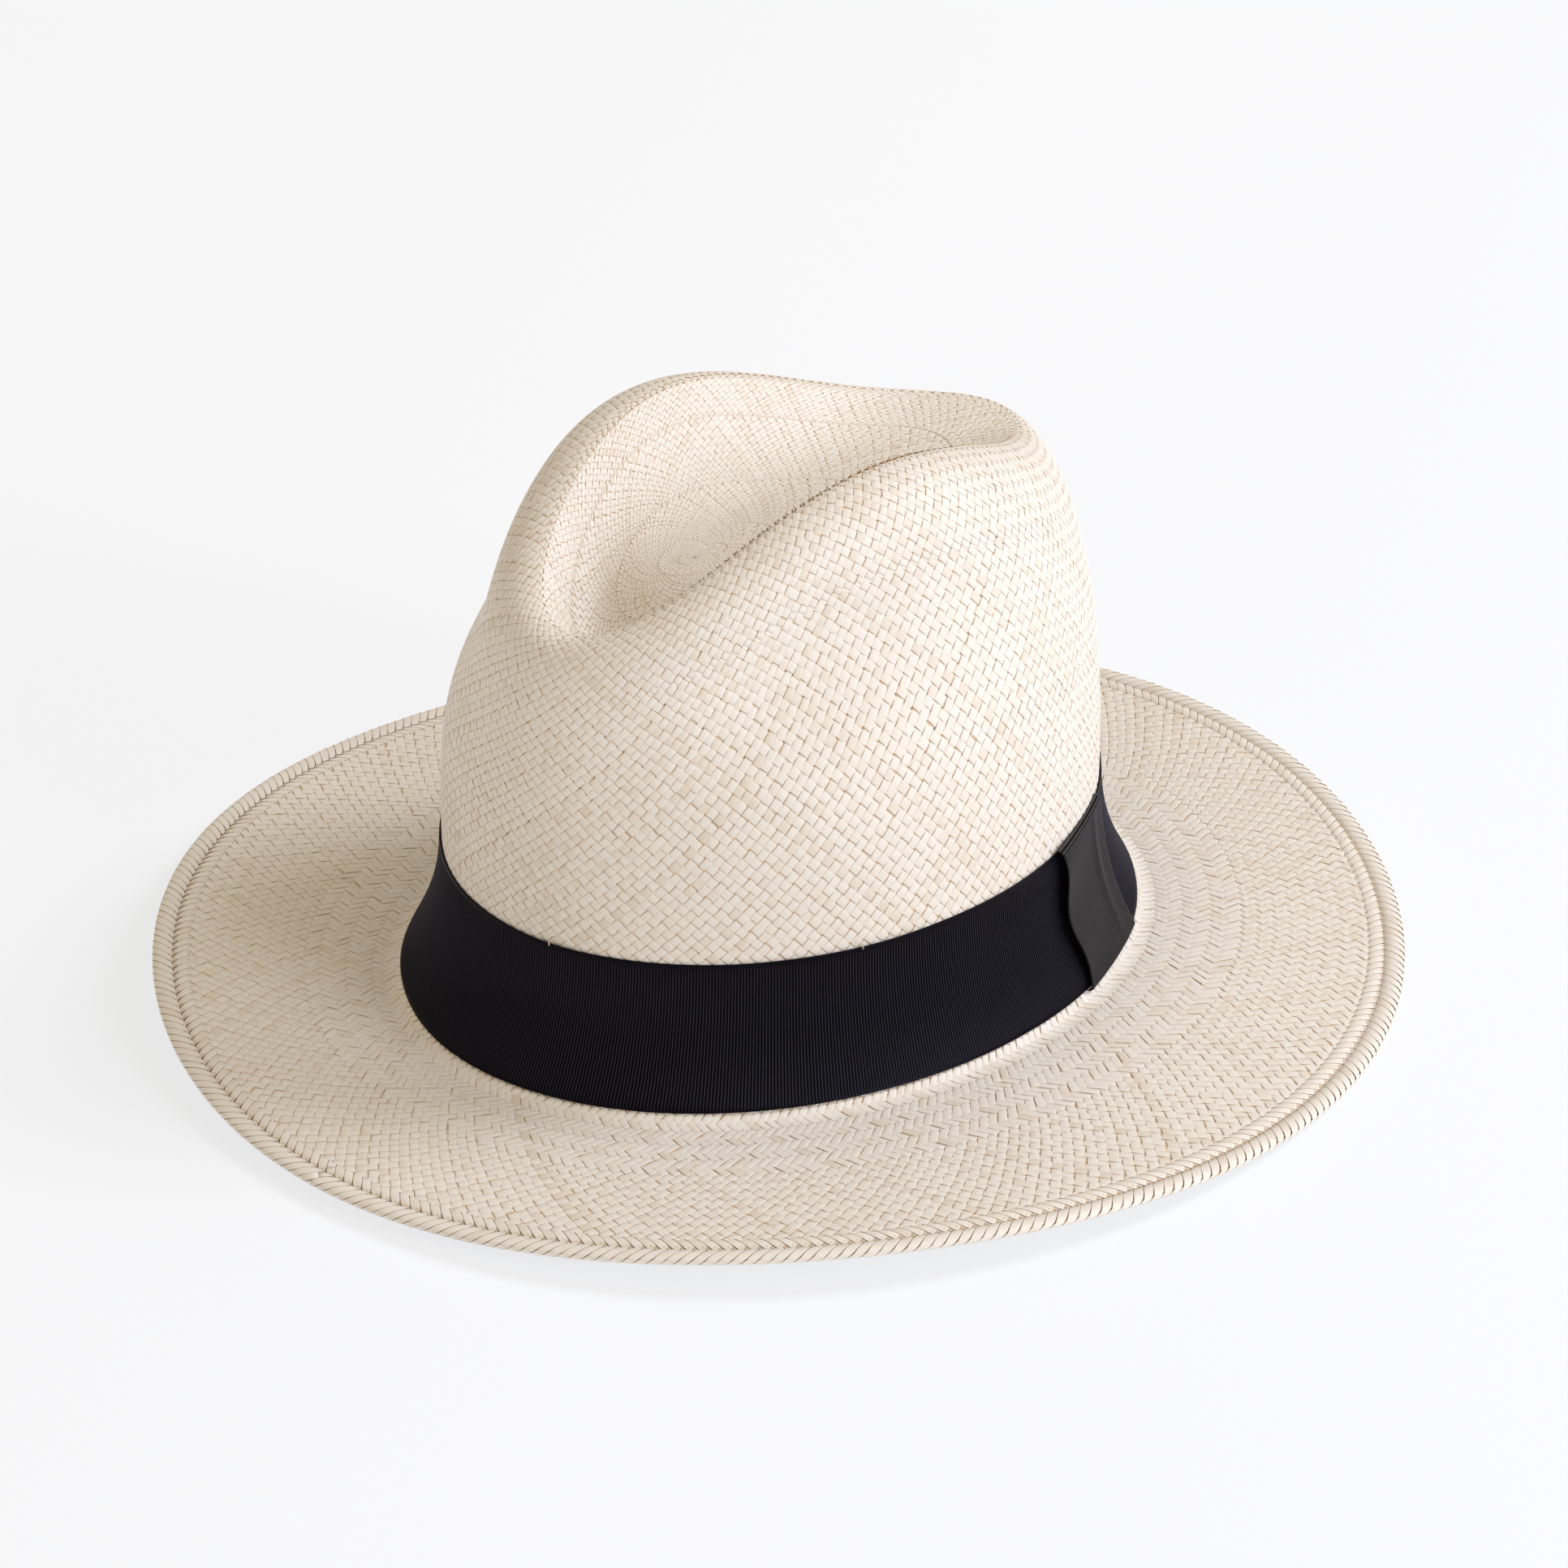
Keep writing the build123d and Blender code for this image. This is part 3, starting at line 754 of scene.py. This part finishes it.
# ---------------------------------------------------------------- inside the crown


def inside_wall(level, a, depth):
    """A point this high inside the crown, this deep under the straw's outer face."""
    top = ribbon_top(a)
    share = (top - level) / (top - RIBBON_LOW_HEIGHT)
    x, y, _ = ribbon_ring(share, a, -WALL_INSET - depth)
    return np.stack([x, y, level + 0 * x], -1)


def sweatband_piece():
    """The leather band, a little wavy along its free upper edge."""
    share = np.linspace(0, 1, 16)
    a = np.linspace(0, 2 * np.pi, 360, endpoint=False)
    share, a = np.meshgrid(share, a, indexing="ij")
    level = band_low.z + (band_high.z - band_low.z) * share
    wave = (0.35 * np.sin(9 * a) + 0.25 * np.sin(5 * a + 1)) * share ** 2
    depth = SWEATBAND_DEPTH + (0.35 + wave) * MM * share
    outer = inside_wall(level, a, depth)
    inner = inside_wall(level, a, depth + SWEATBAND_THICKNESS)
    vertices, faces = closed_strip(outer[::-1], inner[::-1], False)
    piece = mesh_piece("sweatband_leather_band", vertices, faces, LEATHER, "sweatband")


THREAD_SIDES = 8
THREAD_POINTS = 7


def threads(name, starts, ends, bulge, radius, node):
    """Short stitches that rise out of the cloth by bulge, a vector for each, and dip at both ends."""
    t = np.linspace(0, 1, THREAD_POINTS)[None, :, None]
    middle = starts[:, None] * (1 - t) + ends[:, None] * t + bulge[:, None] * np.sin(np.pi * t)
    path = unit(np.gradient(middle, axis=1))
    out = unit(np.broadcast_to(bulge[:, None], middle.shape))
    across = unit(np.cross(path, out))
    out = np.cross(across, path)
    turn = np.linspace(0, 2 * np.pi, THREAD_SIDES, endpoint=False)
    thin = radius * np.sin(np.pi * (0.08 + 0.84 * t)) ** 0.5
    ring = middle[:, :, None] + (
        across[:, :, None] * np.cos(turn)[:, None] + out[:, :, None] * np.sin(turn)[:, None]
    ) * thin[:, :, None]
    count, points, sides = ring.shape[:3]
    index = np.arange(count * points * sides).reshape(count, points, sides)
    nxt = np.roll(index, -1, axis=2)
    faces = [np.stack([index[:, :-1], index[:, 1:], nxt[:, 1:], nxt[:, :-1]], -1).reshape(-1, 4)]
    for end, order in ((index[:, 0], 1), (index[:, -1], -1)):
        for k in (1, 3, 5):
            cap = np.stack([end[:, 0], end[:, k], end[:, k + 1], end[:, (k + 2) % sides]], -1)
            faces.append(cap[:, ::order])
    mesh_piece(name, ring.reshape(-1, 3), np.concatenate(faces), THREAD, node)


STITCH_COUNT = 84
STITCH_HALF = 1.7 * MM
STITCH_RADIUS = 0.3 * MM
STITCH_BULGE = 0.35 * MM
TACK_RADIUS = 0.18 * MM
TACK_BULGE = 0.3 * MM
TACK_LENGTH = 1.6 * MM
TACK_START = 0.02
TACK_ANGLES = np.radians([8, 62, 150, 208, 258, 312])


def sweatband_stitches():
    low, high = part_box("sweatband_stitches")
    level = (low.z + high.z) / 2
    middle = 2 * np.pi * (np.arange(STITCH_COUNT) + 0.5) / STITCH_COUNT
    half = STITCH_HALF / ((band_high.x + band_high.y) / 2)
    depth = SWEATBAND_DEPTH + SWEATBAND_THICKNESS
    ends = [inside_wall(np.full_like(middle, level), middle + s * half, depth) for s in (-1, 1)]
    inward = -np.stack([np.sin(middle), -np.cos(middle), 0 * middle], -1)
    threads("sweatband_thread", *ends, inward * STITCH_BULGE, STITCH_RADIUS, "sweatband_stitches")


def ribbon_tacks():
    low = np.stack(ribbon_ring(TACK_START, TACK_ANGLES), -1)
    high = low + np.array([0, 0, TACK_LENGTH])
    outward = np.stack([np.sin(TACK_ANGLES), -np.cos(TACK_ANGLES), 0 * TACK_ANGLES], -1)
    threads("ribbon_tack_thread", low, high, outward * TACK_BULGE, TACK_RADIUS, "ribbon_tacks")


def bow_pieces():
    """A flat bow of narrow ribbon over the sweatband's joint: two loops and the turn that ties them."""
    place = Vector(((bow_low.x + bow_high.x) / 2, bow_low.y, (bow_low.z + bow_high.z) / 2))
    reach = (bow_high.x - bow_low.x) / 2
    half = (bow_high.z - bow_low.z) / 2
    turn = np.linspace(0, 2 * np.pi, 96, endpoint=False)
    across = np.linspace(-1, 1, 13)
    across, turn = np.meshgrid(across, turn, indexing="ij")
    waist = 0.55 + 0.45 * np.abs(np.cos(turn)) ** 0.6
    x = place.x + reach * np.cos(turn)
    # The band is curved, so the bow's ends lie further forward than its middle.
    sag = reach ** 2 / (2 * band_high.y) * np.cos(turn) ** 2
    rib = np.cos(24 * np.pi * across)

    def sheet(deep, swell):
        y = place.y + 1.6 * MM - deep - swell * np.sin(2 * turn) * 0.5 - sag
        return np.stack([x, y, place.z + half * waist * across], -1)

    outer = sheet(0.9 * MM, 1.3 * MM)
    inner = sheet(1.2 * MM, 1.3 * MM)
    vertices, faces = closed_strip(outer, inner, False)
    # crest is 1 on a rib's top and 0 in its groove, where the grosgrain material paints shade.
    crest = np.concatenate([(1 + rib) / 2, np.full_like(rib, 0.5)])
    bow = mesh_piece("bow_loops", vertices, faces, BLACK, "sweatband_bow",
                     {"crest": crest})
    angle = np.linspace(0, 2 * np.pi, 40, endpoint=False)
    along = np.linspace(-1, 1, 9)
    along, angle = np.meshgrid(along, angle, indexing="ij")

    def knot(radius):
        return np.stack([
            place.x + 2.6 * MM * along,
            place.y + 0.6 * MM + radius * 0.45 * np.cos(angle),
            place.z + (half * 0.62 + radius * 0.1) * np.sin(angle),
        ], -1)

    vertices, faces = closed_strip(knot(2.6 * MM), knot(2.0 * MM), False)
    tie = mesh_piece("bow_tie_turn", vertices, faces, BLACK, "sweatband_bow",
                     {"crest": np.full(len(vertices), 0.7)})


def show_reed():
    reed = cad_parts["sweatband_reed"]
    reed.data.materials.clear()
    reed.data.materials.append(REED)


sweatband_piece()
sweatband_stitches()
ribbon_tacks()
bow_pieces()
show_reed()

# ---------------------------------------------------------------- camera, floor and light

CAMERA_AZIMUTH = math.radians(42)
CAMERA_ELEVATION = math.radians(29.5)
CAMERA_DISTANCE = 1.06
SENSOR = 36.0
# The picture is this wide, in metres, at the origin's distance.
VIEW_WIDTH = 0.420


def add_camera():
    data = bpy.data.cameras.new("camera")
    camera = bpy.data.objects.new("camera", data)
    bpy.context.scene.collection.objects.link(camera)
    toward = Vector((
        math.sin(CAMERA_AZIMUTH) * math.cos(CAMERA_ELEVATION),
        -math.cos(CAMERA_AZIMUTH) * math.cos(CAMERA_ELEVATION),
        math.sin(CAMERA_ELEVATION),
    ))
    camera.location = toward * CAMERA_DISTANCE
    camera.rotation_euler = toward.to_track_quat("Z", "Y").to_euler()
    data.sensor_width = SENSOR
    data.lens = SENSOR * CAMERA_DISTANCE / VIEW_WIDTH
    data.shift_x = 0.0057
    data.shift_y = 0.088
    bpy.context.scene.camera = camera


def add_light(name, place, size, power, colour=(1, 1, 1)):
    data = bpy.data.lights.new(name, "AREA")
    data.shape = "DISK"
    data.size = size
    data.energy = power
    data.color = colour
    light = bpy.data.objects.new(name, data)
    light.location = place
    light.rotation_euler = Vector(place).to_track_quat("Z", "Y").to_euler()
    bpy.context.scene.collection.objects.link(light)


def add_floor():
    material, _, shader = principled("floor", (0.34, 0.34, 0.34), 0.9)
    shader.inputs["Emission Color"].default_value = (0.97, 1.0, 1.05, 1)
    shader.inputs["Emission Strength"].default_value = 0.61
    bpy.ops.mesh.primitive_plane_add(size=30, location=(0, 0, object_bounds()[0][2] - 0.3 * MM))
    floor = bpy.context.object
    floor.name = "floor"
    floor.data.materials.append(material)


def add_world():
    world = bpy.data.worlds.new("world")
    bpy.context.scene.world = world
    world.use_nodes = True
    world.node_tree.nodes["Background"].inputs["Color"].default_value = (1.0, 0.88, 0.70, 1)
    world.node_tree.nodes["Background"].inputs["Strength"].default_value = 0.60


add_camera()
add_floor()
add_world()
add_light("key", (1.9, 3.0, 3.2), 1.8, 98, (0.94, 1.0, 1.14))
add_light("side", (2.4, 0.2, 1.0), 1.2, 25, (0.94, 1.0, 1.14))
bpy.context.scene.view_settings.view_transform = "Standard"
